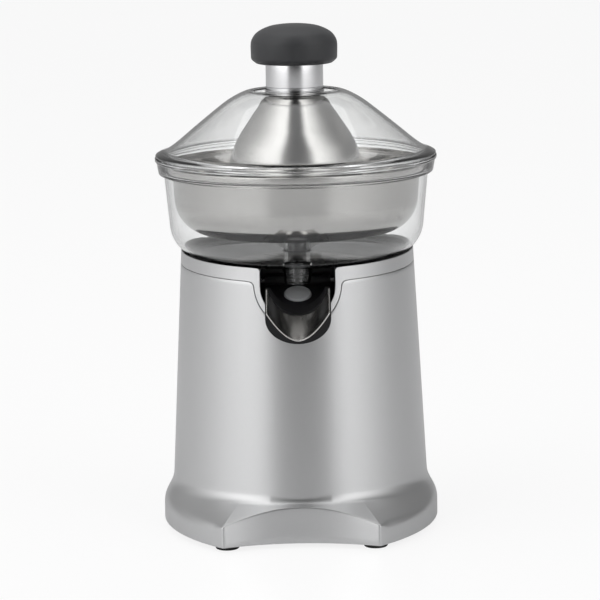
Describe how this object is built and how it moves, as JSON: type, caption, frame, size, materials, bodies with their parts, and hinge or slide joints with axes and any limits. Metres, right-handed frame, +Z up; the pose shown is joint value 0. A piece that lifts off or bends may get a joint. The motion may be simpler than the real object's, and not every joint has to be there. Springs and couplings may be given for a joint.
{
  "type": "citrus press juicer",
  "caption": "Upright electric citrus press: domed press on a ribbed reamer, clear juice collector, tapered body and a tilting drip-stop spout.",
  "frame": {"origin": "on the drive shaft's axis, at the surface the feet rest on", "axes": "+Z up along the drive shaft, -Y towards the spout at the front, +X to the right seen from the front"},
  "size_m": [0.191, 0.206, 0.3396],
  "materials": {
    "silver_shell": "satin silver paint over moulded shell",
    "bright_steel": "circular brushed stainless steel",
    "polished_chrome": "polished",
    "clear_plastic": "clear moulded plastic",
    "knob_soft_grey": "soft-touch dark grey",
    "dark_plastic": "moulded black",
    "reamer_black": "moulded black",
    "black_rubber": "matt",
    "grey_silicone": "matt light grey",
    "white_nylon": "moulded natural",
    "plain_steel": "zinc plated",
    "bearing_bronze": "sintered",
    "stacked_iron": "laminated",
    "copper_wire": "enamelled winding"
  },
  "bodies": {
    "base": {"main_housing": "silver_shell", "top_collar": "silver_shell", "base_plate": "dark_plastic", "foot_1": "black_rubber", "foot_2": "black_rubber", "foot_3": "black_rubber", "foot_4": "black_rubber", "base_screw_1": "plain_steel", "base_screw_2": "plain_steel", "base_screw_3": "plain_steel", "base_screw_4": "plain_steel", "cord_gland": "black_rubber", "cord_clamp": "dark_plastic", "terminal_block": "white_nylon", "top_deck": "dark_plastic", "spout_recess": "dark_plastic", "spout_pin": "plain_steel", "shaft_bush": "bearing_bronze", "shaft_seal": "black_rubber", "gearbox_base": "white_nylon", "gearbox_cover": "white_nylon", "gearbox_screw_1": "plain_steel", "gearbox_screw_2": "plain_steel", "gearbox_screw_3": "plain_steel", "gearbox_screw_4": "plain_steel", "idler_pin": "plain_steel", "motor_stator": "stacked_iron", "field_coil_left": "copper_wire", "field_coil_right": "copper_wire", "motor_bridge_top": "plain_steel", "motor_bridge_bottom": "plain_steel", "motor_bearing_top": "bearing_bronze", "motor_bearing_bottom": "bearing_bronze", "press_switch": "dark_plastic", "switch_bracket": "plain_steel", "return_spring": "plain_steel"},
    "output_gear": {"output_gear": "white_nylon"},
    "drive_shaft": {"drive_shaft": "plain_steel"},
    "switch_plunger": {"switch_plunger": "white_nylon"},
    "idler": {"idler_gear": "white_nylon"},
    "rotor": {"motor_armature": "stacked_iron", "motor_pinion": "bearing_bronze", "cooling_fan": "white_nylon"},
    "drip_spout": {"spout_shell": "dark_plastic", "spout_trough": "bright_steel", "spout_seal": "grey_silicone"},
    "collector": {"juice_collector": "clear_plastic"},
    "strainer": {"strainer_bowl": "bright_steel"},
    "reamer": {"reamer_cone": "reamer_black"},
    "lid": {"lid_cover": "clear_plastic"},
    "press": {"press_dome": "bright_steel", "press_cup": "reamer_black", "knob_ferrule": "polished_chrome", "press_knob": "knob_soft_grey", "press_screw": "plain_steel"}
  },
  "joints": [
    {"name": "output_spin", "type": "hinge", "parent": "base", "child": "output_gear", "pos_m": [0, 0, 0.14], "axis": [0, 0, 1], "continuous": true},
    {"name": "shaft_press", "type": "slide", "parent": "output_gear", "child": "drive_shaft", "axis": [0, 0, 1], "range_m": [-0.0025, 0], "stiffness_N_per_m": 2000, "springref_m": 0.002, "deforming": ["return_spring"]},
    {"name": "plunger_travel", "type": "slide", "parent": "base", "child": "switch_plunger", "axis": [0, 0, 1], "range_m": [-0.0025, 0]},
    {"name": "idler_spin", "type": "hinge", "parent": "base", "child": "idler", "pos_m": [0.01896, 0.0226, 0.14], "axis": [0, 0, 1], "continuous": true},
    {"name": "rotor_spin", "type": "hinge", "parent": "base", "child": "rotor", "pos_m": [0, 0.03294, 0.1], "axis": [0, 0, 1], "continuous": true},
    {"name": "spout_tilt", "type": "hinge", "parent": "base", "child": "drip_spout", "pos_m": [0, -0.041, 0.171], "axis": [1, 0, 0], "range_deg": [-24, 0]},
    {"name": "collector_lift", "type": "slide", "parent": "base", "child": "collector", "axis": [0, 0, 1], "range_m": [0, 0.065]},
    {"name": "strainer_lift", "type": "slide", "parent": "collector", "child": "strainer", "axis": [0, 0, 1], "range_m": [0, 0.055]},
    {"name": "reamer_spin", "type": "hinge", "parent": "strainer", "child": "reamer", "pos_m": [0, 0, 0.22], "axis": [0, 0, 1], "continuous": true},
    {"name": "lid_lift", "type": "slide", "parent": "strainer", "child": "lid", "axis": [0, 0, 1], "range_m": [0, 0.06]},
    {"name": "press_slide", "type": "slide", "parent": "lid", "child": "press", "axis": [0, 0, 1], "range_m": [0, 0.012]}
  ],
  "couplings": [
    {"joint": "plunger_travel", "follows": "shaft_press", "ratio": 1},
    {"joint": "idler_spin", "follows": "output_spin", "ratio": -4.3636},
    {"joint": "rotor_spin", "follows": "output_spin", "ratio": 19.2},
    {"joint": "reamer_spin", "follows": "output_spin", "ratio": 1}
  ]
}
